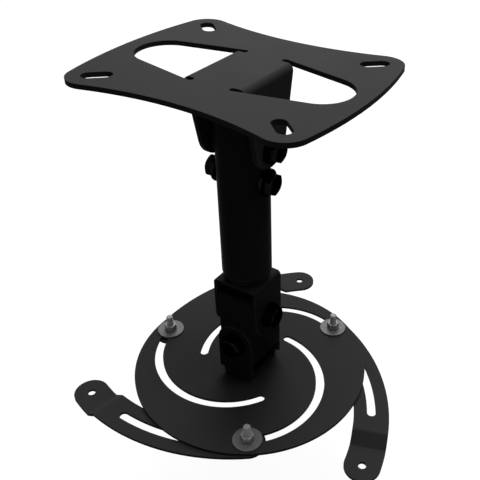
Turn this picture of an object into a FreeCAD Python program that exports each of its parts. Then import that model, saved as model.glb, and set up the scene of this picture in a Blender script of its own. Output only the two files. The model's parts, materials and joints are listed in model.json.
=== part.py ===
import FreeCAD, Part
import math
import os

import Sketcher
from FreeCAD import Rotation, Vector

# Ceiling mount for a projector: a pressed plate for the ceiling, a telescopic column that tilts
# between the plate's ears, a two-way tilting joint, and a round disc with three sliding arms.
# Millimetres, +Z up. The origin is the middle of the plate's top face, which lies on the ceiling.
# X runs along the plate's long axis.

os.makedirs("parts", exist_ok=True)
document = FreeCAD.newDocument("ceiling_mount")
sheet = document.addObject("Spreadsheet::Sheet", "sizes")

# Driving sizes, in millimetres and degrees
SIZES = {
    # Ceiling plate and its two ears
    "plate_length": 165.2,
    "plate_waist": 113.4,
    "plate_sheet": 3.0,
    "plate_side_radius": 210.0,
    "plate_end_radius": 270.0,
    "plate_corner_radius": 14.0,
    "ceiling_slot_x": 60.4,
    "ceiling_slot_y": 50.0,
    "ceiling_slot_travel": 9.0,
    "ceiling_slot_width": 8.8,
    "ceiling_slot_angle": 41.0,
    "window_end_x": 53.1,
    "window_end_radius": 19.3,
    "window_flare_angle": 12.0,
    "notch_reach": 12.3,
    "notch_corner_radius": 1.9,
    "ear_width": 48.0,
    "ear_end_radius": 16.0,
    "ear_end_above_pivot": 4.1,
    "bend_radius": 1.0,
    # Column
    "pivot_drop": 44.4,
    "tube_diameter": 33.7,
    "tube_wall": 1.6,
    "tube_above_pivot": 32.4,
    "tube_length": 126.5,
    "saddle_floor": 1.1,
    "saddle_diameter": 20.0,
    "height_bolt_below_pivot": 23.5,
    "tube_clearance": 0.25,
    "inner_tube_wall": 2.0,
    "inner_tube_setback": 2.0,
    "height_travel": 17.0,
    # Two-way tilting joint
    "bracket_sheet": 2.0,
    "yoke_below_tube": 6.5,
    "yoke_inside": 30.0,
    "yoke_width": 31.0,
    "tilt_bolt_below_yoke": 28.0,
    "box_depth": 32.0,
    "box_above_tilt_bolt": 18.0,
    "box_above_disc": 17.0,
    "box_edge_radius": 3.0,
    "joint_gap": 0.2,
    "roll_bolt_below_tilt": 21.5,
    "roll_bolt_above_disc": 32.5,
    "clevis_width": 28.0,
    "clevis_neck_width": 21.0,
    "clevis_neck_height": 5.5,
    # Disc and arms
    "disc_diameter": 170.0,
    "disc_sheet": 2.0,
    "bolt_rim_distance": 11.4,
    "bolt_angle": -57.1,
    "arc_lean_angle": 3.5,
    "disc_slot_radius": 54.2,
    "disc_slot_sweep_angle": 141.8,
    "slot_width": 6.0,
    "arm_sheet": 2.0,
    "arm_width": 24.5,
    "arm_radius": 133.3,
    "arm_sweep_angle": 56.5,
    "arm_slot_sweep_angle": 39.1,
    "arm_step": 6.4,
    "arm_step_run": 9.0,
    "arm_step_back_angle": 8.4,
    "arm_step_bend": 1.5,
    "pad_hole_diameter": 5.5,
    # Fasteners
    "bolt_diameter": 8.0,
    "bolt_clearance": 0.4,
    "thread_clearance": 0.2,
    "bolt_flats": 13.0,
    "bolt_head_height": 5.5,
    "bolt_nut_height": 6.5,
    "thin_nut_height": 4.0,
    "bolt_washer_diameter": 18.0,
    "bolt_washer_sheet": 2.0,
    "bolt_end_beyond_nut": 1.5,
    "swivel_end_beyond_nut": 0.5,
    "screw_diameter": 5.0,
    "screw_flats": 8.0,
    "screw_head_height": 3.5,
    "screw_length": 17.5,
    "screw_nut_height": 4.7,
    "screw_washer_diameter": 20.0,
    "screw_washer_sheet": 1.2,
}

ARM_COUNT = 3
HEXAGON = 6
CHAMFER_START = 0.95


class Size:
    """A number together with the spreadsheet expression that gives it."""

    def __init__(self, number, text):
        self.number = float(number)
        self.text = text

    @staticmethod
    def of(value):
        return value if isinstance(value, Size) else Size(value, repr(float(value)))

    def join(self, other, sign, number):
        return Size(number, f"({self.text} {sign} {other.text})")

    def __add__(self, other):
        other = Size.of(other)
        return self.join(other, "+", self.number + other.number)

    def __sub__(self, other):
        other = Size.of(other)
        return self.join(other, "-", self.number - other.number)

    def __mul__(self, other):
        other = Size.of(other)
        return self.join(other, "*", self.number * other.number)

    def __truediv__(self, other):
        other = Size.of(other)
        return self.join(other, "/", self.number / other.number)

    def __radd__(self, other):
        return Size.of(other) + self

    def __rsub__(self, other):
        return Size.of(other) - self

    def __rmul__(self, other):
        return Size.of(other) * self

    def __neg__(self):
        return Size.of(0.0) - self


def cosine(angle):
    return Size(math.cos(math.radians(angle.number)), f"cos({angle.text})")


def sine(angle):
    return Size(math.sin(math.radians(angle.number)), f"sin({angle.text})")


def root(value):
    return Size(math.sqrt(value.number), f"sqrt({value.text})")


def fill_sheet():
    """Write every driving size into its own cell, beside its name."""
    for row, (name, value) in enumerate(SIZES.items(), start=1):
        sheet.set(f"A{row}", name)
        sheet.set(f"B{row}", str(value))
        sheet.setAlias(f"B{row}", name)
    document.recompute()


def size(name):
    return Size(sheet.get(name), f"sizes.{name}")


def tie(target, name, value):
    """Bind a property of an object to the spreadsheet."""
    value = Size.of(value)
    target.setExpression(name, value.text)


def place(target, x=0.0, y=0.0, z=0.0, rotation=None):
    """Put an object at a place that follows the spreadsheet."""
    target.Placement = FreeCAD.Placement(Vector(), rotation or Rotation())
    for axis, value in (("x", x), ("y", y), ("z", z)):
        if isinstance(value, Size):
            tie(target, f"Placement.Base.{axis}", value)


class Drawing:
    """A sketch on one of a body's own planes, with every point and radius bound to the sheet."""

    def __init__(self, body, name, plane, lift=None):
        self.sketch = body.newObject("Sketcher::SketchObject", name)
        support = [item for item in body.Origin.OriginFeatures if item.Role == plane]
        self.sketch.AttachmentSupport = [(support[0], "")]
        self.sketch.MapMode = "FlatFace"
        if lift is not None:
            tie(self.sketch, "AttachmentOffset.Base.z", lift)

    def bind(self, row, value):
        self.sketch.setExpression(f"Constraints[{row}]", Size.of(value).text)

    def pin(self, edge, spot, x, y):
        """Hold one point of an edge at x, y from the sketch's origin."""
        for kind, value in (("DistanceX", x), ("DistanceY", y)):
            number = Size.of(value).number
            row = self.sketch.addConstraint(Sketcher.Constraint(kind, -1, 1, edge, spot, number))
            self.bind(row, value)

    def circle(self, x, y, radius):
        middle = Vector(Size.of(x).number, Size.of(y).number, 0)
        shape = Part.Circle(middle, Vector(0, 0, 1), radius.number)
        edge = self.sketch.addGeometry(shape, False)
        self.pin(edge, 3, x, y)
        row = self.sketch.addConstraint(Sketcher.Constraint("Radius", edge, radius.number))
        self.bind(row, radius)

    def outline(self, corners):
        """Close a loop through the corners. A corner is (x, y) before a straight edge, or
        (x, y, radius, turn) before an arc, where turn is 1 to the left and -1 to the right."""
        count = len(corners)
        spots = [Vector(Size.of(c[0]).number, Size.of(c[1]).number, 0) for c in corners]
        edges = []
        for index, corner in enumerate(corners):
            start, end = spots[index], spots[(index + 1) % count]
            if len(corner) == 2:
                edge = self.sketch.addGeometry(Part.LineSegment(start, end), False)
                edges.append((edge, 1, 2))
            else:
                shape = arc_between(start, end, corner[2].number, corner[3])
                edge = self.sketch.addGeometry(shape, False)
                edges.append((edge, 1, 2) if corner[3] > 0 else (edge, 2, 1))
        for index, corner in enumerate(corners):
            edge, first, last = edges[index]
            after = edges[(index + 1) % count]
            self.sketch.addConstraint(Sketcher.Constraint("Coincident", edge, last, after[0], after[1]))
            self.pin(edge, first, corner[0], corner[1])
            if len(corner) == 4:
                row = self.sketch.addConstraint(
                    Sketcher.Constraint("Radius", edge, corner[2].number))
                self.bind(row, corner[2])

    def rectangle(self, x_low, x_high, y_low, y_high):
        self.outline([(x_low, y_low), (x_high, y_low), (x_high, y_high), (x_low, y_high)])


def arc_between(start, end, radius, turn):
    """The arc of at most half a circle from start to end that turns left (1) or right (-1)."""
    half = (end - start) * 0.5
    rise = math.sqrt(max(radius ** 2 - half.Length ** 2, 0.0))
    side = Vector(-half.y, half.x, 0).normalize() * (rise * turn)
    middle = start + half + side
    if turn < 0:
        start, end = end, start
    first = math.atan2(start.y - middle.y, start.x - middle.x)
    last = math.atan2(end.y - middle.y, end.x - middle.x)
    if last < first:
        last += 2 * math.pi
    return Part.ArcOfCircle(Part.Circle(middle, Vector(0, 0, 1), radius), first, last)


def ring_band(x, y, radius, half_width, start, end):
    """Corners of a band that follows an arc about x, y from the start angle up to the end
    angle, with a half-round end past each."""
    def polar(distance, angle, ahead=0.0):
        return (x + distance * cosine(angle) - ahead * sine(angle),
                y + distance * sine(angle) + ahead * cosine(angle))

    return [
        (*polar(radius + half_width, start), radius + half_width, 1),
        (*polar(radius + half_width, end), half_width, 1),
        (*polar(radius, end, half_width), half_width, 1),
        (*polar(radius - half_width, end), radius - half_width, -1),
        (*polar(radius - half_width, start), half_width, 1),
        (*polar(radius, start, -half_width), half_width, 1),
    ]


def new_body(label):
    body = document.addObject("PartDesign::Body", label)
    body.Label = label
    return body


def pad(body, drawing, name, length, symmetric=False, backwards=False):
    feature = body.newObject("PartDesign::Pad", name)
    feature.Profile = drawing.sketch
    tie(feature, "Length", length)
    feature.SideType = "Symmetric" if symmetric else "One side"
    feature.Reversed = backwards
    drawing.sketch.Visibility = False
    return feature


def cut_through(body, drawing, name):
    """Remove the drawing's area from the whole body, both ways."""
    feature = body.newObject("PartDesign::Pocket", name)
    feature.Profile = drawing.sketch
    feature.Type = "ThroughAll"
    feature.SideType = "Symmetric"
    drawing.sketch.Visibility = False
    return feature


def edges_where(feature, test):
    """Names of the edges of a feature whose middle point passes the test."""
    document.recompute()
    names = []
    for number, edge in enumerate(feature.Shape.Edges, start=1):
        middle = edge.valueAt((edge.FirstParameter + edge.LastParameter) / 2)
        if test(edge, middle):
            names.append(f"Edge{number}")
    return names


def round_edges(body, feature, name, radius, test):
    fillet = body.newObject("PartDesign::Fillet", name)
    fillet.Base = (feature, edges_where(feature, test))
    tie(fillet, "Radius", radius)
    return fillet


def runs_along(edge, axis):
    """True for a straight edge that is parallel to the axis."""
    if not isinstance(edge.Curve, Part.Line):
        return False
    return edge.Curve.Direction.cross(axis).Length < 1e-6


def near(a, b):
    return abs(a - b) < 0.01


fill_sheet()

X_AXIS = Vector(1, 0, 0)
Y_AXIS = Vector(0, 1, 0)
Z_AXIS = Vector(0, 0, 1)
TO_X = Rotation(Y_AXIS, 90)
TO_MINUS_Y = Rotation(X_AXIS, 90)
UPSIDE_DOWN = Rotation(X_AXIS, 180)

# Sizes that follow from the driving ones
bolt_hole_radius = (size("bolt_diameter") + size("bolt_clearance")) / 2
tube_radius = size("tube_diameter") / 2
inner_tube_radius = tube_radius - size("tube_wall") - size("tube_clearance")
plate_sheet = size("plate_sheet")
ear_inner_x = tube_radius + size("saddle_floor")
ear_outer_x = ear_inner_x + plate_sheet
bend_radius = size("bend_radius")
bend_start_x = ear_inner_x - bend_radius
bend_bottom = plate_sheet + bend_radius
ear_half = size("ear_width") / 2

# Each level is a drop below the ceiling, and hangs on the one above it.
pivot_drop = size("pivot_drop")
tube_top_drop = pivot_drop - size("tube_above_pivot")
height_bolt_drop = pivot_drop + size("height_bolt_below_pivot")
yoke_top_drop = tube_top_drop + size("tube_length") + size("yoke_below_tube")
tilt_bolt_drop = yoke_top_drop + size("tilt_bolt_below_yoke")
box_top_drop = tilt_bolt_drop - size("box_above_tilt_bolt")
roll_bolt_drop = tilt_bolt_drop + size("roll_bolt_below_tilt")
disc_drop = roll_bolt_drop + size("roll_bolt_above_disc")
box_height = disc_drop - size("box_above_disc") - box_top_drop

bracket_sheet = size("bracket_sheet")
joint_gap = size("joint_gap")
yoke_inner_x = size("yoke_inside") / 2
yoke_outer_x = yoke_inner_x + bracket_sheet
box_half_x = yoke_inner_x - joint_gap
box_half_y = size("box_depth") / 2
clevis_inner_y = box_half_y + joint_gap
clevis_outer_y = clevis_inner_y + bracket_sheet
bolt_circle_radius = size("disc_diameter") / 2 - size("bolt_rim_distance")
disc_under = disc_drop + size("disc_sheet")
arm_under = disc_under + size("arm_sheet")
clevis_floor_drop = disc_drop - bracket_sheet


# Ceiling plate
def build_ceiling_plate():
    """Pressed plate with hollow sides, two windows, four slots and two folded-down ears."""
    body = new_body("ceiling_plate")
    half_length = size("plate_length") / 2
    half_waist = size("plate_waist") / 2
    side_radius = size("plate_side_radius")
    end_radius = size("plate_end_radius")

    # The corner is where a side arc about (0, side_y) meets an end arc about (-end_x, 0).
    side_y = half_waist + side_radius
    end_x = end_radius - half_length
    apart = root(side_y * side_y + end_x * end_x)
    along = (side_radius * side_radius - end_radius * end_radius + apart * apart) / (2 * apart)
    across = root(side_radius * side_radius - along * along)
    corner_x = (across * side_y - along * end_x) / apart
    corner_y = side_y - (along * side_y + across * end_x) / apart
    blank = Drawing(body, "plate_outline", "XY_Plane")
    blank.outline([
        (-corner_x, -corner_y, side_radius, -1),
        (corner_x, -corner_y, end_radius, 1),
        (corner_x, corner_y, side_radius, -1),
        (-corner_x, corner_y, end_radius, 1),
    ])
    plate = pad(body, blank, "plate_blank", plate_sheet, backwards=True)
    rounded = round_edges(body, plate, "plate_corners", size("plate_corner_radius"),
                          lambda edge, middle: runs_along(edge, Z_AXIS))

    slots = Drawing(body, "ceiling_slots_outline", "XY_Plane")
    reach = size("ceiling_slot_travel") / 2
    slot_half = size("ceiling_slot_width") / 2
    lean_x = cosine(size("ceiling_slot_angle"))
    lean_y = sine(size("ceiling_slot_angle"))
    for side_x in (1, -1):
        for side_y_sign in (1, -1):
            turn = side_x * side_y_sign

            def spot(ahead, aside):
                along_slot = size("ceiling_slot_x") + ahead * lean_x - aside * lean_y
                up_slot = size("ceiling_slot_y") + ahead * lean_y + aside * lean_x
                return (side_x * along_slot, side_y_sign * up_slot)

            slots.outline([
                (*spot(-reach, -slot_half),),
                (*spot(reach, -slot_half), slot_half, turn),
                (*spot(reach + slot_half, Size.of(0)), slot_half, turn),
                (*spot(reach, slot_half),),
                (*spot(-reach, slot_half), slot_half, turn),
                (*spot(-reach - slot_half, Size.of(0)), slot_half, turn),
            ])
    cut_through(body, slots, "ceiling_slots")

    # Each window is a round end with two flaring edges, and ends in a notch beside the ear.
    window = Drawing(body, "window_outline", "XY_Plane")
    flare = size("window_flare_angle")
    end_radius_window = size("window_end_radius")
    touch_x = size("window_end_x") + end_radius_window * sine(flare)
    touch_y = end_radius_window * cosine(flare)
    notch_x = size("notch_reach")
    notch_y = touch_y + (touch_x - notch_x) * sine(flare) / cosine(flare)
    window.outline([
        (bend_start_x, -ear_half),
        (bend_start_x, ear_half),
        (notch_x, ear_half),
        (notch_x, notch_y),
        (touch_x, touch_y, end_radius_window, -1),
        (size("window_end_x") + end_radius_window, Size.of(0), end_radius_window, -1),
        (touch_x, -touch_y),
        (notch_x, -notch_y),
        (notch_x, -ear_half),
    ])
    opening = cut_through(body, window, "window")
    notch_at = notch_x.number

    # The ear is the flap cut out of the window, folded down.
    bend = Drawing(body, "ear_bend_outline", "XZ_Plane")
    bend.outline([
        (bend_start_x, -plate_sheet, bend_radius, -1),
        (ear_inner_x, -bend_bottom),
        (ear_outer_x, -bend_bottom, bend_radius + plate_sheet, 1),
        (bend_start_x, Size.of(0)),
    ])
    bend_pad = pad(body, bend, "ear_bend", size("ear_width"), symmetric=True)

    leg = Drawing(body, "ear_outline", "YZ_Plane", lift=ear_inner_x)
    end_radius_ear = size("ear_end_radius")
    # Each slanted side runs from the ear's corner and touches the round end, whose middle lies
    # a little above the pivot.
    ear_end_drop = pivot_drop - size("ear_end_above_pivot")
    rise = ear_end_drop - bend_bottom
    far = root(ear_half * ear_half + rise * rise)
    tangent_length = root(far * far - end_radius_ear * end_radius_ear)
    touch_ear_y = end_radius_ear * (end_radius_ear * ear_half + tangent_length * rise) / (far * far)
    touch_ear_z = end_radius_ear * (end_radius_ear * rise - tangent_length * ear_half) / (far * far)
    leg.outline([
        (-ear_half, -bend_bottom),
        (-touch_ear_y, touch_ear_z - ear_end_drop, end_radius_ear, 1),
        (Size.of(0), -ear_end_drop - end_radius_ear, end_radius_ear, 1),
        (touch_ear_y, touch_ear_z - ear_end_drop),
        (ear_half, -bend_bottom),
    ])
    leg.circle(Size.of(0), -pivot_drop, bolt_hole_radius)
    leg_pad = pad(body, leg, "ear_leg", plate_sheet)

    mirror = body.newObject("PartDesign::Mirrored", "both_sides")
    mirror.Originals = [opening, bend_pad, leg_pad]
    plane = [item for item in body.Origin.OriginFeatures if item.Role == "YZ_Plane"][0]
    mirror.MirrorPlane = (plane, [""])
    body.Tip = mirror
    body.Tip = round_edges(body, mirror, "notch_corners", size("notch_corner_radius"),
                           lambda edge, middle: runs_along(edge, Z_AXIS)
                           and near(abs(middle.x), notch_at))
    return body


# Column
def build_column_tube():
    """Outer tube with cross holes for the pivot bolt and the height bolt."""
    body = new_body("column_tube")
    ring = Drawing(body, "tube_rings", "XY_Plane", lift=-tube_top_drop)
    ring.circle(Size.of(0), Size.of(0), tube_radius)
    ring.circle(Size.of(0), Size.of(0), tube_radius - size("tube_wall"))
    pad(body, ring, "tube_wall", size("tube_length"), backwards=True)
    holes = Drawing(body, "tube_hole_outlines", "YZ_Plane")
    for drop in (pivot_drop, height_bolt_drop):
        holes.circle(Size.of(0), -drop, bolt_hole_radius)
    cut_through(body, holes, "tube_holes")
    return body


def build_inner_tube():
    """Inner tube with one long slot that holds both bolts, and stops it at the pivot bolt."""
    body = new_body("inner_tube")
    top = tube_top_drop + size("inner_tube_setback")
    ring = Drawing(body, "inner_tube_rings", "XY_Plane", lift=-top)
    ring.circle(Size.of(0), Size.of(0), inner_tube_radius)
    ring.circle(Size.of(0), Size.of(0), inner_tube_radius - size("inner_tube_wall"))
    pad(body, ring, "inner_tube_wall", yoke_top_drop - top, backwards=True)
    low = -height_bolt_drop
    high = size("height_travel") - pivot_drop
    zero = Size.of(0)
    slot = Drawing(body, "height_slot_outline", "YZ_Plane")
    slot.outline([
        (-bolt_hole_radius, high),
        (-bolt_hole_radius, low, bolt_hole_radius, 1),
        (zero, low - bolt_hole_radius, bolt_hole_radius, 1),
        (bolt_hole_radius, low),
        (bolt_hole_radius, high, bolt_hole_radius, 1),
        (zero, high + bolt_hole_radius, bolt_hole_radius, 1),
    ])
    cut_through(body, slot, "height_slot")
    return body


def build_pivot_saddles():
    """Two moulded saddles: flat to the ears, hollow to the round tube."""
    halves = []
    thickness = ear_inner_x - joint_gap / 2
    for name, turn in (("right", TO_X), ("left", TO_X.inverted())):
        disc = cylinder(f"saddle_disc_{name}", size("saddle_diameter") / 2, thickness)
        bore = cylinder(f"saddle_bore_{name}", bolt_hole_radius, thickness)
        drilled = cut(f"saddle_drilled_{name}", disc, bore)
        place(drilled, z=-pivot_drop, rotation=turn)
        column = cylinder(f"saddle_seat_{name}", tube_radius, size("tube_length"))
        place(column, z=-tube_top_drop - size("tube_length"))
        halves.append(cut(f"saddle_{name}", drilled, column))
    return compound("pivot_saddles", halves)


# Two-way tilting joint
def folded_strip(body, plane, inner, top, bottom, width, name):
    """A strip folded into an upside-down U: inner is half the inside width, top the outside
    of its web and bottom the end of its legs."""
    outer = inner + bracket_sheet
    web = top - bracket_sheet
    strip = Drawing(body, f"{name}_section", plane)
    strip.outline([
        (outer, bottom),
        (outer, web - bend_radius, bend_radius + bracket_sheet, 1),
        (inner - bend_radius, top),
        (bend_radius - inner, top, bend_radius + bracket_sheet, 1),
        (-outer, web - bend_radius),
        (-outer, bottom),
        (-inner, bottom),
        (-inner, web - bend_radius, bend_radius, -1),
        (bend_radius - inner, web),
        (inner - bend_radius, web, bend_radius, -1),
        (inner, web - bend_radius),
        (inner, bottom),
    ])
    return pad(body, strip, f"{name}_strip", width, symmetric=True)


def round_leg_ends(body, plane, half_width, middle, name):
    """Round both legs' lower ends about the height of their bolt."""
    margin = bend_radius
    waste = Drawing(body, f"{name}_waste_outline", plane)
    waste.outline([
        (-half_width, middle, half_width, 1),
        (Size.of(0), middle - half_width, half_width, 1),
        (half_width, middle),
        (half_width + margin, middle),
        (half_width + margin, middle - half_width - margin),
        (-half_width - margin, middle - half_width - margin),
        (-half_width - margin, middle),
    ])
    return cut_through(body, waste, f"{name}_round_ends")


def build_tilt_yoke():
    """Folded strip under the inner tube, with the tilt bolt through its legs."""
    body = new_body("tilt_yoke")
    half_width = size("yoke_width") / 2
    bolt = -tilt_bolt_drop
    folded_strip(body, "XZ_Plane", yoke_inner_x, -yoke_top_drop, bolt - half_width,
                 size("yoke_width"), "yoke")
    round_leg_ends(body, "YZ_Plane", half_width, bolt, "yoke")
    holes = Drawing(body, "yoke_hole_outline", "YZ_Plane")
    holes.circle(Size.of(0), bolt, bolt_hole_radius)
    cut_through(body, holes, "yoke_holes")
    return body


def build_gimbal_box():
    """Deep pressed box, open below, crossed by the tilt bolt and, lower, the roll bolt."""
    body = new_body("gimbal_box")
    top = -box_top_drop
    plan = Drawing(body, "box_plan", "XY_Plane", lift=top)
    plan.rectangle(-box_half_x, box_half_x, -box_half_y, box_half_y)
    block = pad(body, plan, "box_block", box_height, backwards=True)
    floor = top - box_height
    rounded = round_edges(body, block, "box_edges", size("box_edge_radius"),
                          lambda edge, middle: not near(middle.z, floor.number))
    document.recompute()
    opening = [f"Face{number}" for number, face in enumerate(rounded.Shape.Faces, start=1)
               if near(face.CenterOfMass.z, floor.number)]
    shell = body.newObject("PartDesign::Thickness", "box_wall")
    shell.Base = (rounded, opening)
    tie(shell, "Value", bracket_sheet)
    shell.Reversed = True
    body.Tip = shell
    for name, plane, drop in (("tilt", "YZ_Plane", tilt_bolt_drop),
                              ("roll", "XZ_Plane", roll_bolt_drop)):
        holes = Drawing(body, f"{name}_bolt_outline", plane)
        holes.circle(Size.of(0), -drop, bolt_hole_radius)
        cut_through(body, holes, f"{name}_bolt_holes")
    return body


def build_foot_clevis():
    """Folded strip on the disc, the other way up, with a narrow neck above its floor."""
    body = new_body("foot_clevis")
    half_width = size("clevis_width") / 2
    # Drawn upside down about the disc's top face, then turned over by its placement.
    bolt = roll_bolt_drop - disc_drop
    folded_strip(body, "YZ_Plane", clevis_inner_y, Size.of(0), bolt - half_width,
                 size("clevis_width"), "clevis")
    round_leg_ends(body, "XZ_Plane", half_width, bolt, "clevis")
    neck = Drawing(body, "neck_outline", "XZ_Plane")
    margin = bend_radius
    neck_half = size("clevis_neck_width") / 2
    neck_height = size("clevis_neck_height")
    neck.rectangle(neck_half, half_width + margin, -neck_height, margin)
    neck.rectangle(-half_width - margin, -neck_half, -neck_height, margin)
    cut_through(body, neck, "neck")
    bores = Drawing(body, "clevis_bore_outline", "XZ_Plane")
    bores.circle(Size.of(0), bolt, bolt_hole_radius)
    cut_through(body, bores, "clevis_bores")
    floor = Drawing(body, "swivel_bore_outline", "XY_Plane")
    floor.circle(Size.of(0), Size.of(0), bolt_hole_radius)
    cut_through(body, floor, "swivel_bore")
    place(body, z=-disc_drop, rotation=UPSIDE_DOWN)
    return body


# Disc and arms
def bolt_spot(index):
    """Where the clamp screw of one arm stands, seen from above."""
    angle = size("bolt_angle") + index * 360.0 / ARM_COUNT
    return bolt_circle_radius * cosine(angle), bolt_circle_radius * sine(angle), angle


def build_spider_disc():
    """Round disc with three curved slots that run inward from the clamp screws."""
    body = new_body("spider_disc")
    rim = Drawing(body, "disc_rim", "XY_Plane")
    rim.circle(Size.of(0), Size.of(0), size("disc_diameter") / 2)
    rim.circle(Size.of(0), Size.of(0), bolt_hole_radius)
    pad(body, rim, "disc_blank", size("disc_sheet"), backwards=True)
    x, y, angle = bolt_spot(0)
    radius = size("disc_slot_radius")
    outward = angle + size("arc_lean_angle")
    slot = Drawing(body, "disc_slot_outline", "XY_Plane")
    slot.outline(ring_band(x - radius * cosine(outward), y - radius * sine(outward), radius,
                           size("slot_width") / 2, outward, outward + size("disc_slot_sweep_angle")))
    first = cut_through(body, slot, "disc_slot")
    ring = body.newObject("PartDesign::PolarPattern", "disc_slots")
    ring.Originals = [first]
    axis = [item for item in body.Origin.OriginFeatures if item.Role == "Z_Axis"][0]
    ring.Axis = (axis, [""])
    ring.Angle = 360
    ring.Occurrences = ARM_COUNT
    body.Tip = ring
    place(body, z=-disc_drop)
    return body


def build_arm(index):
    """Curved flat arm with a long slot and a stepped-down end that takes a projector screw.
    It is drawn about the middle of its own arc, with the step straight below that middle."""
    label = f"arm_{index + 1}"
    body = new_body(label)
    radius = size("arm_radius")
    arm_sheet = size("arm_sheet")
    half_run = size("arm_step_run") / 2
    step = size("arm_step")
    # A slanted sheet's corner lies aside by its thickness times the tangent of half the slant.
    slope = root(half_run * half_run * 4 + step * step)
    aside = arm_sheet * (slope - half_run * 2) / step
    low_end = -radius / 2

    side = Drawing(body, f"{label}_side", "XZ_Plane", lift=radius)
    side.outline([
        (radius, Size.of(0)),
        (half_run, Size.of(0)),
        (-half_run, -step),
        (low_end, -step),
        (low_end, -step - arm_sheet),
        (-half_run + aside, -step - arm_sheet),
        (half_run + aside, -arm_sheet),
        (radius, -arm_sheet),
    ])
    blank = pad(body, side, f"{label}_blank", 2 * radius, symmetric=True)
    bend = size("arm_step_bend")
    inner_edges = ((-half_run, -step), (half_run + aside, -arm_sheet))
    outer_edges = ((half_run, Size.of(0)), (-half_run + aside, -step - arm_sheet))

    def at(spots):
        return lambda edge, middle: runs_along(edge, Y_AXIS) and any(
            near(middle.x, x.number) and near(middle.z, z.number) for x, z in spots)

    inner = round_edges(body, blank, f"{label}_inner_bends", bend, at(inner_edges))
    body.Tip = inner
    outer = round_edges(body, inner, f"{label}_outer_bends", bend + arm_sheet, at(outer_edges))
    body.Tip = outer

    pad_angle = -90 - size("arm_step_back_angle")
    screw_angle = pad_angle + size("arm_sweep_angle")
    slot_end = screw_angle - size("arm_slot_sweep_angle")
    zero = Size.of(0)
    rim = Drawing(body, f"{label}_rim", "XY_Plane")
    margin = size("arm_width")
    rim.rectangle(low_end - margin, radius + margin, -2 * radius - margin, margin)
    rim.outline(ring_band(zero, zero, radius, size("arm_width") / 2, pad_angle, screw_angle))
    cut_through(body, rim, f"{label}_cut_out")
    slot = Drawing(body, f"{label}_slot_outline", "XY_Plane")
    slot.outline(ring_band(zero, zero, radius, size("slot_width") / 2, slot_end, screw_angle))
    slot.circle(radius * cosine(pad_angle), radius * sine(pad_angle), size("pad_hole_diameter") / 2)
    cut_through(body, slot, f"{label}_slot")

    x, y, angle = bolt_spot(index)
    outward = angle + size("arc_lean_angle")
    place(body, x - radius * cosine(outward), y - radius * sine(outward), -disc_under)
    tie(body, "Placement.Rotation.Angle", outward - screw_angle)
    return body


# Fasteners
def cylinder(name, radius, height):
    shape = document.addObject("Part::Cylinder", name)
    tie(shape, "Radius", radius)
    tie(shape, "Height", height)
    return shape


def cut(name, base, tool):
    shape = document.addObject("Part::Cut", name)
    shape.Base = base
    shape.Tool = tool
    return shape


def compound(name, links):
    shape = document.addObject("Part::Compound", name)
    shape.Links = links
    return shape


def chamfered_hexagon(name, flats, height, both_ends):
    """A hexagon between z = 0 and its height, whose corners are turned off at the top, and at
    the bottom too if both ends are."""
    prism = document.addObject("Part::Prism", f"{name}_hexagon")
    prism.Polygon = HEXAGON
    tie(prism, "Circumradius", flats / root(Size.of(3)))
    tie(prism, "Height", height)
    narrow = flats / 2 * CHAMFER_START
    wide = narrow + height * root(Size.of(3))
    turned = [("top", wide, narrow)]
    if both_ends:
        turned.append(("bottom", narrow, wide))
    shapes = [prism]
    for end, low, high in turned:
        cone = document.addObject("Part::Cone", f"{name}_{end}_chamfer")
        tie(cone, "Radius1", low)
        tie(cone, "Radius2", high)
        tie(cone, "Height", height)
        shapes.append(cone)
    turned_hexagon = document.addObject("Part::MultiCommon", f"{name}_turned")
    turned_hexagon.Shapes = shapes
    return turned_hexagon


def hex_bolt(name, diameter, flats, head_height, length):
    """Head above z = 0, shank below."""
    head = chamfered_hexagon(name, flats, head_height, both_ends=False)
    shank = cylinder(f"{name}_shank", diameter / 2, length)
    place(shank, z=-length)
    bolt = document.addObject("Part::MultiFuse", name)
    bolt.Shapes = [head, shank]
    return bolt


def hex_nut(name, diameter, flats, height):
    """Bearing face at z = 0, nut below it."""
    blank = chamfered_hexagon(name, flats, height, both_ends=True)
    bore = cylinder(f"{name}_bore", (diameter + size("thread_clearance")) / 2, height)
    place(blank, z=-height)
    place(bore, z=-height)
    return cut(name, blank, bore)


def washer(name, bore_radius, radius, thickness):
    return cut(name, cylinder(f"{name}_disc", radius, thickness),
               cylinder(f"{name}_bore", bore_radius, thickness))


def bolt_washer(name):
    return washer(name, bolt_hole_radius, size("bolt_washer_diameter") / 2,
                  size("bolt_washer_sheet"))


def build_cross_bolt_set(name, face, drop):
    """Hex bolt along X between two washers, with its nut at -X."""
    washer_sheet = size("bolt_washer_sheet")
    nut_height = size("bolt_nut_height")
    seat = face + washer_sheet
    bolt = hex_bolt(f"{name}_bolt", size("bolt_diameter"), size("bolt_flats"),
                    size("bolt_head_height"), 2 * seat + nut_height + size("bolt_end_beyond_nut"))
    right = bolt_washer(f"{name}_washer_right")
    left = bolt_washer(f"{name}_washer_left")
    nut = hex_nut(f"{name}_nut", size("bolt_diameter"), size("bolt_flats"), nut_height)
    for piece, distance in ((bolt, seat), (right, face), (left, -seat), (nut, -seat)):
        place(piece, x=distance, z=-drop, rotation=TO_X)
    return [bolt, compound(f"{name}_washers", [right, left]), nut]


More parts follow.
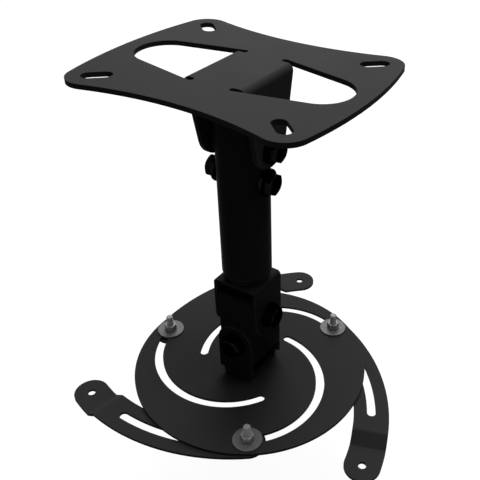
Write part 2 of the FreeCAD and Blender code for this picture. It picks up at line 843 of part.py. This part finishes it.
def build_joint_bolt_set(name, face, drop, axis_name, rotation, sign):
    """Hex bolt through the joint: washer under its head, and its nut straight on the far face."""
    washer_sheet = size("bolt_washer_sheet")
    nut_height = size("bolt_nut_height")
    length = 2 * face + washer_sheet + nut_height + size("bolt_end_beyond_nut")
    bolt = hex_bolt(f"{name}_bolt", size("bolt_diameter"), size("bolt_flats"),
                    size("bolt_head_height"), length)
    ring = bolt_washer(f"{name}_washer")
    nut = hex_nut(f"{name}_nut", size("bolt_diameter"), size("bolt_flats"), nut_height)
    for piece, distance in ((bolt, face + washer_sheet), (ring, face), (nut, -face)):
        place(piece, z=-drop, rotation=rotation, **{axis_name: distance * sign})
    return [bolt, ring, nut]


def build_swivel_set():
    """Upright bolt through the clevis floor and the disc, with a thin nut underneath."""
    washer_sheet = size("bolt_washer_sheet")
    nut_height = size("thin_nut_height")
    floor = -clevis_floor_drop
    under = -disc_under
    grip = floor - under + 2 * washer_sheet
    bolt = hex_bolt("swivel_bolt", size("bolt_diameter"), size("bolt_flats"),
                    size("bolt_head_height"), grip + nut_height + size("swivel_end_beyond_nut"))
    place(bolt, z=floor + washer_sheet)
    upper = bolt_washer("swivel_washer_upper")
    place(upper, z=floor)
    lower = bolt_washer("swivel_washer_lower")
    place(lower, z=under - washer_sheet)
    nut = hex_nut("swivel_nut", size("bolt_diameter"), size("bolt_flats"), nut_height)
    place(nut, z=under - washer_sheet)
    return [bolt, compound("swivel_washers", [upper, lower]), nut]


def build_clamp_set(index):
    """Screw up through arm and disc, with a wide washer and a nut on the disc."""
    number = index + 1
    x, y, angle = bolt_spot(index)
    screw = hex_bolt(f"clamp_screw_{number}", size("screw_diameter"), size("screw_flats"),
                     size("screw_head_height"), size("screw_length"))
    place(screw, x, y, -arm_under, UPSIDE_DOWN)
    bore_radius = (size("screw_diameter") + size("bolt_clearance")) / 2
    ring = washer(f"clamp_washer_{number}", bore_radius, size("screw_washer_diameter") / 2,
                  size("screw_washer_sheet"))
    place(ring, x, y, -disc_drop)
    nut = hex_nut(f"clamp_nut_{number}", size("screw_diameter"), size("screw_flats"),
                  size("screw_nut_height"))
    place(nut, x, y, size("screw_washer_sheet") - disc_drop, UPSIDE_DOWN)
    return [screw, ring, nut]


def check_and_write(pieces):
    """Stop on anything that failed, then write one file for each piece."""
    document.recompute()
    failed = [item.Name for item in document.Objects
              if "Invalid" in item.State or "Error" in item.State]
    if failed:
        raise RuntimeError(f"these did not compute: {failed}")
    for piece in pieces:
        shape = piece.Shape
        if shape.isNull() or not shape.isValid() or not shape.Solids:
            raise RuntimeError(f"{piece.Label} has no valid solid")
        if piece.isDerivedFrom("PartDesign::Body") and len(shape.Solids) != 1:
            raise RuntimeError(f"{piece.Label} is not one solid")
        shape.exportStep(f"parts/{piece.Label}.step")
        box = shape.BoundBox
        print(f"{piece.Label}: {len(shape.Solids)} solids, {shape.Volume:.0f} mm3, "
              f"x {box.XMin:.1f} to {box.XMax:.1f}, y {box.YMin:.1f} to {box.YMax:.1f}, "
              f"z {box.ZMin:.1f} to {box.ZMax:.1f}")


pieces = [
    build_ceiling_plate(),
    *build_cross_bolt_set("pivot", ear_outer_x, pivot_drop),
    build_column_tube(),
    build_pivot_saddles(),
    *build_cross_bolt_set("height", tube_radius, height_bolt_drop),
    build_inner_tube(),
    build_tilt_yoke(),
    *build_joint_bolt_set("tilt", yoke_outer_x, tilt_bolt_drop, "x", TO_X, 1),
    build_gimbal_box(),
    *build_joint_bolt_set("roll", clevis_outer_y, roll_bolt_drop, "y", TO_MINUS_Y, -1),
    build_foot_clevis(),
    *build_swivel_set(),
    build_spider_disc(),
]
for arm_index in range(ARM_COUNT):
    pieces.append(build_arm(arm_index))
    pieces.extend(build_clamp_set(arm_index))
check_and_write(pieces)
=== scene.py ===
# %% [markdown]
# # Ceiling mount for a projector
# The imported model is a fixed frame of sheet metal, tubes and fasteners, in metres. This lesson
# gives every piece a finish worked out from its real material, cuts real threads on the bolts,
# lays the weld under the column, and sets a camera and soft studio light.

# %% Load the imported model
import json
import math

import bpy
import numpy as np
from mathutils import Matrix, Vector

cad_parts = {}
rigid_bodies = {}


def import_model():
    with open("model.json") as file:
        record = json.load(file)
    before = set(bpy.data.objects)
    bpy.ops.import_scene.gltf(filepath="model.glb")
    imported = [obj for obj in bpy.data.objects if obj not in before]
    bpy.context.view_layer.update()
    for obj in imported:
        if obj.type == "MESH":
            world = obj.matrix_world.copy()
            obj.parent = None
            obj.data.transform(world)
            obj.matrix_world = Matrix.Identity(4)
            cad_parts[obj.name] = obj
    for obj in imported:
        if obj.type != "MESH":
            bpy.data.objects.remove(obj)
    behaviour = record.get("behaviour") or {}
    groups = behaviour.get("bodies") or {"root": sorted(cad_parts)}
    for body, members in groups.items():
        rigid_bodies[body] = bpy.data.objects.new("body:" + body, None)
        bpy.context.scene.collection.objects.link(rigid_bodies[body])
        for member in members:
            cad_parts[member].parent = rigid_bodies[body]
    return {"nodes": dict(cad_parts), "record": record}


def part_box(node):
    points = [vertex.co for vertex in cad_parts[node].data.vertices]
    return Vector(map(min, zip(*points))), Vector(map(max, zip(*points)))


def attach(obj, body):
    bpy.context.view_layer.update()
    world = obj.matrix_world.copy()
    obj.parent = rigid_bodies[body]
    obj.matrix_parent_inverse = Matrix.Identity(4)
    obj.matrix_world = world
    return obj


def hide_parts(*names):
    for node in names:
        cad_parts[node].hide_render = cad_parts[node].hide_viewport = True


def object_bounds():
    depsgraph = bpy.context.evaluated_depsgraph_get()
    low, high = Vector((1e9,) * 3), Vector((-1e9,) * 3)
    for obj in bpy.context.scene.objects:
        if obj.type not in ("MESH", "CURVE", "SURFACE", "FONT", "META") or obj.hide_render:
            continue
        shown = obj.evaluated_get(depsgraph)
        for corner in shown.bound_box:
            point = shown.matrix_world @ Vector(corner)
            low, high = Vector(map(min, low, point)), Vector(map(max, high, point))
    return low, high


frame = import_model()
MM = 0.001
start_bounds = [list(corner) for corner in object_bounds()]

# %% [markdown]
# The camera stands in front and to the right of the mount, above the plate, and looks down at it.
# Its place and its three directions were solved from the picture's perspective, so they are given
# here as plain numbers. The shift moves the frame sideways without turning the camera, because
# the mount doesn't stand in the middle of the lens's view.

# %% Camera
CAMERA_SPOT = Vector((0.227873, -0.311060, 0.146643))
LOOK = Vector((-0.4147, 0.7084, -0.5710)).normalized()
RIGHT = Vector((0.8571, 0.5149, 0.01636))
FRAME_PIXELS = 480
FOCAL_PIXELS = 706.495
AXIS_PIXEL = (305.95, 245.41)
SENSOR_MM = 36.0
NEAREST_METRES = 0.01

camera_data = bpy.data.cameras.new("camera")
camera_data.sensor_width = SENSOR_MM
camera_data.lens = camera_data.sensor_width * FOCAL_PIXELS / FRAME_PIXELS
camera_data.shift_x = 0.5 - AXIS_PIXEL[0] / FRAME_PIXELS
camera_data.shift_y = AXIS_PIXEL[1] / FRAME_PIXELS - 0.5
camera_data.clip_start = NEAREST_METRES
camera = bpy.data.objects.new("camera", camera_data)
bpy.context.scene.collection.objects.link(camera)
right = (RIGHT - RIGHT.dot(LOOK) * LOOK).normalized()
up = right.cross(LOOK)
camera.matrix_world = Matrix.Translation(CAMERA_SPOT) @ Matrix(
    (right, up, -LOOK)).transposed().to_4x4()
bpy.context.scene.camera = camera
bpy.context.scene.view_settings.view_transform = "Standard"
print(f"lens {camera_data.lens:.1f} mm,",
      f"shift {camera_data.shift_x:.3f}, {camera_data.shift_y:.3f}")

# %% [markdown]
# Every finish below is a small node tree. One function turns a colour written as sRGB hex into
# the linear light that Blender adds up, and one function adds a node with its settings and links,
# so that each material reads as a short recipe. Patterns use Object coordinates in metres, which
# lets a grain be written in millimetres.

# %% Helpers for colours and nodes
def colour(code):
    """sRGB hex to linear: below 0.04045 divide by 12.92, above it a power of 2.4."""
    parts = [int(code[i:i + 2], 16) / 255 for i in (1, 3, 5)]
    linear = [p / 12.92 if p <= 0.04045 else ((p + 0.055) / 1.055) ** 2.4 for p in parts]
    return (*linear, 1.0)


def add(tree, kind, links=None, **settings):
    """Add one node. A setting named like an attribute is set on the node, any other on the input
    socket of that name or number, and links maps an input to the output that feeds it."""
    node = tree.nodes.new("ShaderNode" + kind)
    inputs = {}
    for key, value in settings.items():
        if hasattr(node, key):
            setattr(node, key, value)
        else:
            inputs[key.replace("_", " ")] = value
    for key, value in inputs.items():
        node.inputs[key].default_value = value
    for key, source in (links or {}).items():
        tree.links.new(source, node.inputs[key])
    return node


def new_material(name):
    """An empty node material with its Principled shader and the Object coordinates."""
    material = bpy.data.materials.new(name)
    material.use_nodes = True
    tree = material.node_tree
    tree.nodes.clear()
    shader = add(tree, "BsdfPrincipled")
    add(tree, "OutputMaterial", links={"Surface": shader.outputs["BSDF"]})
    place = add(tree, "TexCoord").outputs["Object"]
    return material, tree, shader, place


def grains_per_metre(size_mm):
    """Noise scale at which one blob is about this many millimetres wide."""
    return 1.0 / (size_mm * MM)


print("white is", colour("#ffffff"))

# %% [markdown]
# The mount hangs over a pale, matt floor, low enough that it stays clear when the column is drawn
# out and everything is tilted. The world is a plain pale grey. Camera, glossy and transmitted rays
# see both as white, while the light that really falls on the steel stays soft and moderate. Seen
# from below, the floor is clear, so that the arms and the screws' heads can be looked at too.

# %% Floor and world
def sees_white(tree):
    """1 for a ray from the camera, from a gloss or through a glass, and 0 for any other."""
    path = add(tree, "LightPath")
    glossy = add(tree, "Math", operation="MAXIMUM", links={
        0: path.outputs["Is Camera Ray"], 1: path.outputs["Is Glossy Ray"]})
    any_of_three = add(tree, "Math", operation="MAXIMUM", links={
        0: glossy.outputs[0], 1: path.outputs["Is Transmission Ray"]})
    return any_of_three.outputs[0]


low_corner, high_corner = (Vector(corner) for corner in start_bounds)
FLOOR_WIDTH = 8.0
ROOM_UNDER_DISC = 0.1
FLOOR_GLOW = 0.93
ROOM_LIGHT = 0.03
floor_height = low_corner.z - ROOM_UNDER_DISC


def make_floor():
    """A square at the floor's height. The glow and the lamps' light together make it white."""
    half = FLOOR_WIDTH / 2
    corners = [(x * half, y * half, floor_height) for x, y in ((-1, -1), (1, -1), (1, 1), (-1, 1))]
    mesh = bpy.data.meshes.new("floor")
    mesh.from_pydata(corners, [], [(0, 1, 2, 3)])
    floor = bpy.data.objects.new("floor", mesh)
    bpy.context.scene.collection.objects.link(floor)
    material = bpy.data.materials.new("matt white studio paper")
    material.use_nodes = True
    tree = material.node_tree
    tree.nodes.clear()
    paper = add(tree, "BsdfDiffuse", Color=colour("#5a5a5a"))
    white = add(tree, "Emission", Color=colour("#ffffff"), Strength=FLOOR_GLOW)
    glow = add(tree, "AddShader", links={0: paper.outputs[0], 1: white.outputs[0]})
    mix = add(tree, "MixShader", links={
        0: sees_white(tree), 1: paper.outputs[0], 2: glow.outputs[0]})
    clear = add(tree, "BsdfTransparent")
    back = add(tree, "NewGeometry").outputs["Backfacing"]
    one_sided = add(tree, "MixShader", links={0: back, 1: mix.outputs[0], 2: clear.outputs[0]})
    add(tree, "OutputMaterial", links={"Surface": one_sided.outputs[0]})
    mesh.materials.append(material)


def make_world(strength):
    """A room that looks white but lights the steel with this strength only."""
    world = bpy.data.worlds.new("pale room")
    world.use_nodes = True
    tree = world.node_tree
    tree.nodes.clear()
    light = add(tree, "Background", Color=colour("#ffffff"), Strength=strength)
    white = add(tree, "Background", Color=colour("#ffffff"), Strength=1.0)
    mix = add(tree, "MixShader", links={
        0: sees_white(tree), 1: light.outputs[0], 2: white.outputs[0]})
    add(tree, "OutputWorld", links={"Surface": mix.outputs[0]})
    bpy.context.scene.world = world


make_floor()
make_world(ROOM_LIGHT)
print("floor at", round(floor_height, 4), "m")

# %% [markdown]
# Four soft lamps light the steel. A wide one overhead and one high behind give the flat tops their
# grey and leave the sides dark, as black steel looks on a white ground. A faint one low in front
# lays a sheen on the tube, and a small one under the disc lights the arms for a look from below.

# %% Lamps
def soft_lamp(name, spot, aim, width, watts):
    """A square lamp at a spot, turned to a point and left out of the camera's own view."""
    data = bpy.data.lights.new(name, "AREA")
    data.shape = "SQUARE"
    data.size = width
    data.energy = watts
    lamp = bpy.data.objects.new(name, data)
    lamp.location = spot
    lamp.visible_camera = False
    lamp.rotation_euler = (Vector(aim) - Vector(spot)).to_track_quat("-Z", "Y").to_euler()
    bpy.context.scene.collection.objects.link(lamp)


# Each lamp's name, its spot and its width in metres, and its watts.
LAMPS = (("overhead", (0.05, 0.12, 1.1), 0.8, 15.0),
         ("high behind", (-0.6, 1.05, 0.75), 0.9, 20.0),
         ("low front", (0.4, -0.85, -0.1), 0.25, 0.25),
         ("under the disc", (0, 0, floor_height + 0.01), 0.15, 0.15))
middle = (low_corner + high_corner) / 2
for name, spot, width, watts in LAMPS:
    soft_lamp(name, spot, middle, width, watts)
print(len(bpy.data.lights), "lamps")

# %% [markdown]
# The plate, the disc and the arms are sheet steel with a black powder coat. The powder melts into
# a skin with a fine orange-peel ripple about a millimetre wide, so the surface is a soft satin.
# Folded edges catch a thin line of light, because the coat rounds them over. The ripple is a noise
# fed to a Bump node, and a Bevel node rounds the edges for the light only. A second Bevel node
# finds the same edges and paints them a paler colour, a painted highlight along each edge. The
# column's brackets and tubes have a smoother coat with more gloss.

# %% Black powder coat
BEVEL_SAMPLES = 6
PATCH_MM = 26.0
BUMP_STRENGTH = 0.6
# A Mix node has sockets for numbers, vectors and colours. These are the ones for colours.
MIX_A, MIX_B, MIX_RESULT = 6, 7, 2


def coat_surface(tree, shader, place, peel_mm, height_mm, edge_mm):
    """Orange peel on softly rounded edges."""
    peel = add(tree, "TexNoise", Scale=grains_per_metre(peel_mm), Detail=2.0, Roughness=0.5,
               links={"Vector": place})
    rounded = add(tree, "Bevel", samples=BEVEL_SAMPLES, Radius=edge_mm * MM)
    bump = add(tree, "Bump", Strength=BUMP_STRENGTH, Distance=height_mm * MM,
               links={"Height": peel.outputs["Fac"], "Normal": rounded.outputs["Normal"]})
    tree.links.new(bump.outputs["Normal"], shader.inputs["Normal"])


def blotchy_colour(tree, shader, place, dark, pale, patch_mm):
    """Slow change of colour and gloss, as a coat has where it lies thicker or was handled."""
    patches = add(tree, "TexNoise", Scale=grains_per_metre(patch_mm), Detail=3.0,
                  links={"Vector": place})
    mixed = add(tree, "Mix", data_type="RGBA", links={0: patches.outputs["Fac"]})
    mixed.inputs[MIX_A].default_value = colour(dark)
    mixed.inputs[MIX_B].default_value = colour(pale)
    tree.links.new(mixed.outputs[MIX_RESULT], shader.inputs["Base Color"])
    return patches.outputs["Fac"]


def vary(tree, factor, low, high, target):
    """Map a pattern, which mostly stays between 0.3 and 0.7, to two values of a socket."""
    spread = add(tree, "MapRange", From_Min=0.3, From_Max=0.7, To_Min=low, To_Max=high,
                 links={"Value": factor})
    tree.links.new(spread.outputs["Result"], target)


def paint_edge_highlight(tree, shader, edge_highlight, reach_mm):
    """Painted highlight: the coat is painted paler along its edges, as if light caught them. A
    Bevel node turns the normal near an edge, and the more it differs from the true normal, the more
    of the highlight colour shows."""
    rounded = add(tree, "Bevel", samples=BEVEL_SAMPLES, Radius=reach_mm * MM)
    flat = add(tree, "NewGeometry")
    match = add(tree, "VectorMath", operation="DOT_PRODUCT", links={
        0: rounded.outputs["Normal"], 1: flat.outputs["Normal"]})
    edge = add(tree, "MapRange", From_Min=0.99, From_Max=0.75,
               links={"Value": match.outputs["Value"]})
    coat = shader.inputs["Base Color"].links[0].from_socket
    mixed = add(tree, "Mix", data_type="RGBA", links={0: edge.outputs["Result"], MIX_A: coat})
    # The colour of the painted edge highlight.
    mixed.inputs[MIX_B].default_value = colour(edge_highlight)
    tree.links.new(mixed.outputs[MIX_RESULT], shader.inputs["Base Color"])


def powder_coat(name, dark, pale, edge_highlight, roughness, ior, peel_mm, height_mm):
    """A plastic skin. Its IOR is far below a real coat's 1.5, because the white room would
    otherwise lie over the black steel as a grey veil."""
    material, tree, shader, place = new_material(name)
    patches = blotchy_colour(tree, shader, place, dark, pale, PATCH_MM)
    # Paints a paler highlight along the edges.
    paint_edge_highlight(tree, shader, edge_highlight, reach_mm=0.7)
    vary(tree, patches, roughness - 0.05, roughness + 0.05, shader.inputs["Roughness"])
    shader.inputs["IOR"].default_value = ior
    coat_surface(tree, shader, place, peel_mm, height_mm, edge_mm=0.35)
    return material


# Each coat's third colour is its painted edge highlight, much paler on the half-gloss coat.
satin_coat = powder_coat("powder-coated steel, satin black", "#2b2b2b", "#303030", "#343434",
                         roughness=0.58, ior=1.04, peel_mm=0.9, height_mm=0.02)
gloss_coat = powder_coat("powder-coated steel, half-gloss black", "#272727", "#2c2c2c", "#6c6c6c",
                         roughness=0.34, ior=1.02, peel_mm=1.4, height_mm=0.02)
print("coats:", satin_coat.name, "and", gloss_coat.name)

# %% [markdown]
# The through bolts, nuts and washers are black oxide: hot-blackened, oiled steel. The oxide is
# thin, so the metal's own mirror shows through dark. It is a metal with a nearly black colour and
# a low roughness that a fine noise breaks up. The small clamp screws are zinc-plated instead. Their
# plating has gone dull with handling, so its grey is even and its roughness high.

# %% Black oxide and zinc
def plated_steel(name, dark, pale, roughness, spread, grain_mm, grazing):
    """A metal. Grazing is the tint of its mirror where the eye skims along the surface."""
    material, tree, shader, place = new_material(name)
    patches = blotchy_colour(tree, shader, place, dark, pale, patch_mm=3.0)
    vary(tree, patches, roughness - spread, roughness + spread, shader.inputs["Roughness"])
    shader.inputs["Metallic"].default_value = 1.0
    shader.inputs["Specular Tint"].default_value = colour(grazing)
    coat_surface(tree, shader, place, grain_mm, height_mm=0.008, edge_mm=0.2)
    return material


black_oxide = plated_steel("black oxide steel, oiled", "#0b0b0c", "#131314",
                           roughness=0.28, spread=0.08, grain_mm=0.5, grazing="#3c3c3d")
satin_zinc = plated_steel("zinc-plated steel, satin", "#626263", "#767677",
                          roughness=0.62, spread=0.06, grain_mm=0.4, grazing="#6c6c6c")
dull_zinc = plated_steel("zinc-plated steel, dull", "#444445", "#535354",
                         roughness=0.58, spread=0.06, grain_mm=0.4, grazing="#6c6c6c")


def moulded_nylon():
    """Nylon from a mould: a faint sheen over a fine spark-eroded grain."""
    material, tree, shader, place = new_material("moulded nylon, black")
    blotchy_colour(tree, shader, place, "#0d0d0d", "#131313", patch_mm=6.0)
    shader.inputs["Roughness"].default_value = 0.55
    shader.inputs["IOR"].default_value = 1.05
    coat_surface(tree, shader, place, peel_mm=0.35, height_mm=0.02, edge_mm=0.3)
    return material


nylon = moulded_nylon()
print("metals:", black_oxide.name, "/", satin_zinc.name, "/", dull_zinc.name)

# %% [markdown]
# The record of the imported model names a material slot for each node. One table joins these slots
# to the finishes above, so a node gets the finish of what it is made of.

# %% Give each CAD node its finish
FINISHES = {
    "satin_black": satin_coat,
    "gloss_black": gloss_coat,
    "blackened_steel": black_oxide,
    "grey_zinc": dull_zinc,
    "nylon": nylon,
}
slot_of = {row["node"]: row["material_slot"] for row in frame["record"]["subparts"]}
for node, thing in frame["nodes"].items():
    thing.data.materials.clear()
    thing.data.materials.append(FINISHES[slot_of[node]])
print("finishes on", len(slot_of), "nodes")

# %% [markdown]
# The bolts, screws and nuts are bought-in standard pieces. A head or nut is hexagon bar whose
# corners a cone of 30 degrees has turned off, and a thread is a groove that climbs one pitch with
# each turn. Modifiers could make both, with a boolean for the cone and a screw for the thread, but
# all of it is one simple idea: a grid of turns about an axis and steps along it, where the radius
# is a function of the two. So the radius is worked out here for the whole grid at once.

# %% Surfaces turned about an axis
TURN_STEPS = 72
TURNS = np.linspace(0.0, 2 * np.pi, TURN_STEPS, endpoint=False)
# Sizes in mm of bolts of 8 and of 5 mm: thread pitch, width over the flats, height of the head,
# and length of the thread.
STANDARD = {8: {"pitch": 1.25, "flats": 13.0, "head": 5.5, "threaded": 22.0},
            5: {"pitch": 0.8, "flats": 8.0, "head": 3.5, "threaded": 16.7}}
CONE = math.tan(math.radians(30))
FACE_SHARE = 0.95
SHARP_DEGREES = 28


def turned(rows, foot, axis, corner, ring=False):
    """Points and faces of a surface about an axis. Each row is (along, radius), and either may
    change with the turn. A point is foot + along x axis + radius x (cos turn x corner + sin turn
    x side). A ring's last row joins its first; otherwise the two ends close in a point each."""
    along, radius = (np.stack([np.broadcast_to(row[i], TURNS.shape) for row in rows]) * MM
                     for i in (0, 1))
    axis, corner = np.array(axis, float), np.array(corner, float)
    side = np.cross(axis, corner)
    points = (np.array(foot) + along[..., None] * axis
              + (radius * np.cos(TURNS))[..., None] * corner
              + (radius * np.sin(TURNS))[..., None] * side)
    index = np.arange(along.size).reshape(along.shape)
    upper, lower = (index, np.roll(index, -1, 0)) if ring else (index[:-1], index[1:])
    quads = np.stack([upper, lower, np.roll(lower, -1, 1), np.roll(upper, -1, 1)], -1)
    faces = quads.reshape(-1, 4).tolist()
    points = points.reshape(-1, 3)
    if not ring:
        first, last = index[0], index[-1]
        tips = points[first].mean(0), points[last].mean(0)
        top, bottom = along.size, along.size + 1
        faces += [(top, a, b) for a, b in zip(first.tolist(), np.roll(first, -1).tolist())]
        faces += [(a, bottom, b) for a, b in zip(last.tolist(), np.roll(last, -1).tolist())]
        points = np.vstack([points, tips])
    return points, faces


def hexagon(flats):
    """Distance from the axis to a hexagon's side: half the flats over the cosine of the turn
    from the middle of that side."""
    return flats / 2 / np.cos(TURNS % (np.pi / 3) - np.pi / 6)


def make_piece(name, points, faces, material, body, node):
    """One mesh in place of a CAD node, on the same body and with the given material."""
    mesh = bpy.data.meshes.new(name)
    mesh.from_pydata(points.tolist(), [], faces)
    mesh.shade_smooth()
    mesh.set_sharp_from_angle(angle=math.radians(SHARP_DEGREES))
    mesh.materials.append(material)
    piece = bpy.data.objects.new(name, mesh)
    bpy.context.scene.collection.objects.link(piece)
    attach(piece, body)
    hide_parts(node)


print("hexagon of 13 mm flats is", round(float(hexagon(13.0).max() * 2), 2), "mm over corners")

# %% [markdown]
# With that one function a bolt is a list of rows: the head's flat face, its cone, its sides, the
# shank and then the thread. The standard fixes the thread's proportions, so each is a share of the
# pitch. A nut is a ring of rows instead, which goes up through the bore and down the outside.

# %% Threads, heads and nuts
THREAD_DEPTH = 0.6134
FLAT_CREST = 0.125
BOTH_FLANKS = 0.625
ROWS_PER_PITCH = 8
LEAST_SHANK = 0.8
HEAD_FILLET = 0.3
NUT_PLAY = 0.06
SINK_SHARE = 1.09


def thread_rows(size, start, end):
    """Rows from start down to the end of a shank. The radius is the nominal one less a groove,
    and the groove depends on height/pitch - turn/(2 pi): a flat crest of an eighth of the pitch,
    slanted sides, and a flat root of a quarter. It fades in over one pitch, and a 45 degree
    bevel trims the end."""
    pitch, radius = STANDARD[size]["pitch"], size / 2
    depth = THREAD_DEPTH * pitch
    heights = np.linspace(start, end, int((start - end) / pitch * ROWS_PER_PITCH))
    rows = []
    for height in heights:
        from_root = np.abs(2 * ((height / pitch - TURNS / (2 * np.pi)) % 1) - 1)
        groove = depth * np.clip((1 - from_root - FLAT_CREST) / BOTH_FLANKS, 0, 1)
        fade = min((start - height) / pitch, 1.0)
        bevel = radius - depth + (height - end)
        rows.append((height, np.minimum(radius - groove * fade, bevel)))
    return rows


def hex_bolt(size, length, foot, axis, corner):
    """Head above the foot, shank below it. The cone lowers the head's edge by the tangent of 30
    degrees times how far the hexagon reaches past the flat face."""
    sizes = STANDARD[size]
    hexa = hexagon(sizes["flats"])
    face = sizes["flats"] / 2 * FACE_SHARE
    start = -max(length - sizes["threaded"], LEAST_SHANK)
    rows = [(sizes["head"], face * 0.5), (sizes["head"], face),
            (sizes["head"] - (hexa - face) * CONE, hexa), (0.0, hexa),
            (0.0, size / 2 + HEAD_FILLET), (-HEAD_FILLET, size / 2), (start, size / 2),
            *thread_rows(size, start, -length)]
    return turned(rows, foot, axis, corner)


def hex_nut(size, height, foot, axis, corner):
    """Faces at 0 and height, both with the cone, and a bore with a 45 degree countersink."""
    flats = STANDARD[size]["flats"]
    hexa = hexagon(flats)
    face = flats / 2 * FACE_SHARE
    drop = (hexa - face) * CONE
    bore, sink = size / 2 + NUT_PLAY, size / 2 * SINK_SHARE
    rows = [(height - sink + bore, bore), (height, sink), (height, face), (height - drop, hexa),
            (drop, hexa), (0.0, face), (0.0, sink), (sink - bore, bore)]
    return turned(rows, foot, axis, corner, ring=True)


def in_mm(metres):
    return metres / MM


print("thread depth of 8 mm bolts", round(THREAD_DEPTH * STANDARD[8]["pitch"], 2), "mm")

# %% [markdown]
# Each fastener takes its place from the frame. The box of the CAD node gives both ends along the
# bolt's axis, and the middle of the other two sides gives the line it lies on. Only the direction
# in which the head looks is stated, and the direction of one corner of the hexagon.

# %% Put the fasteners in place
X, Y, Z = np.eye(3)


def middle_and_half(node, axis):
    """The middle of a node's box, and half the box's length along an axis, in metres."""
    low, high = (np.array(corner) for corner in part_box(node))
    centre = (low + high) / 2
    half = abs(float((high - low) @ np.abs(axis))) / 2
    return centre, half


def place_bolt(node, size, axis, corner, body, material):
    """The head fills the box's end that the axis points to, and the shank fills the rest."""
    centre, half = middle_and_half(node, axis)
    foot = centre + axis * (half - STANDARD[size]["head"] * MM)
    length = in_mm(2 * half) - STANDARD[size]["head"]
    points, faces = hex_bolt(size, length, foot, axis, corner)
    make_piece(f"{node}_threaded", points, faces, material, body, node)


def place_nut(node, size, axis, corner, body, material):
    """The nut is as high as the box is long."""
    centre, half = middle_and_half(node, axis)
    points, faces = hex_nut(size, in_mm(2 * half), centre - axis * half, axis, corner)
    make_piece(f"{node}_countersunk", points, faces, material, body, node)


BOLTS = (("pivot", X, Z, "ceiling"), ("height", X, Z, "column"), ("tilt", X, Z, "extension"),
         ("roll", -Y, X, "foot"), ("swivel", Z, X, "foot"))
for name, axis, corner, body in BOLTS:
    place_bolt(f"{name}_bolt", 8, axis, corner, body, black_oxide)
    place_nut(f"{name}_nut", 8, axis, corner, body, black_oxide)
for number in (1, 2, 3):
    place_bolt(f"clamp_screw_{number}", 5, -Z, X, f"screw_{number}", satin_zinc)
    place_nut(f"clamp_nut_{number}", 5, Z, Y, f"nut_stack_{number}", satin_zinc)
threaded = [thing for thing in bpy.data.objects if "threaded" in thing.name]
print(sum(len(thing.data.polygons) for thing in threaded), "faces on the threaded pieces")

# %% [markdown]
# The inner tube is welded to the folded yoke before both are coated. A weld bead is a row of
# melted ripples that fills the corner between wall and web, so it is made as a quarter-round
# section carried round the tube, whose size rises and falls with each ripple. It is wide over the
# web's four corners and thin where the tube stands flush with the web's edge.

# %% Weld bead under the column
RIPPLE = 0.12
SUNK = 0.3
LEAN = 0.6
TURN_POINTS = 480
LIFT_POINTS = 9


def weld_bead(tube_radius, foot, ripples, small, large):
    """Section: a quarter of a circle between the tube's wall and the web. Its radius is small +
    (large - small) x sin squared of twice the turn, plus a ripple of 0.12 mm that leans forward
    like stacked coins. Both legs sink 0.3 mm into the steel."""
    turn = np.linspace(0, 2 * np.pi, TURN_POINTS, endpoint=False)
    lift = np.linspace(0, np.pi / 2, LIFT_POINTS)[:, None]
    size = small + (large - small) * np.sin(2 * turn) ** 2
    lean = LEAN * np.sin(2 * lift)
    size = size + RIPPLE * np.abs(np.sin((ripples * turn + lean) / 2)) - RIPPLE / 2
    sunk = np.full((1, turn.size), -SUNK)
    out = np.vstack([sunk, size * np.cos(lift), sunk])
    up = np.vstack([sunk, size * np.sin(lift), (size * np.sin(lift))[-1:]])
    radius = (tube_radius + out) * MM
    points = np.stack([radius * np.cos(turn), radius * np.sin(turn), foot + up * MM], -1)
    index = np.arange(points.shape[0] * points.shape[1]).reshape(points.shape[:2])
    upper, lower = index, np.roll(index, -1, 0)
    quads = np.stack([lower, upper, np.roll(upper, -1, 1), np.roll(lower, -1, 1)], -1)
    return points.reshape(-1, 3), quads.reshape(-1, 4).tolist()


tube_low, tube_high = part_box("inner_tube")
bead_points, bead_faces = weld_bead(in_mm(tube_high[0]), tube_low[2], ripples=70,
                                    small=0.4, large=0.9)
bead_mesh = bpy.data.meshes.new("weld_bead")
bead_mesh.from_pydata(bead_points.tolist(), [], bead_faces)
bead_mesh.shade_smooth()
bead_mesh.materials.append(gloss_coat)
bead = bpy.data.objects.new("weld_bead", bead_mesh)
bpy.context.scene.collection.objects.link(bead)
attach(bead, "extension")
print("weld bead of", len(bead_faces), "faces")

# %% Finish
bpy.context.view_layer.update()
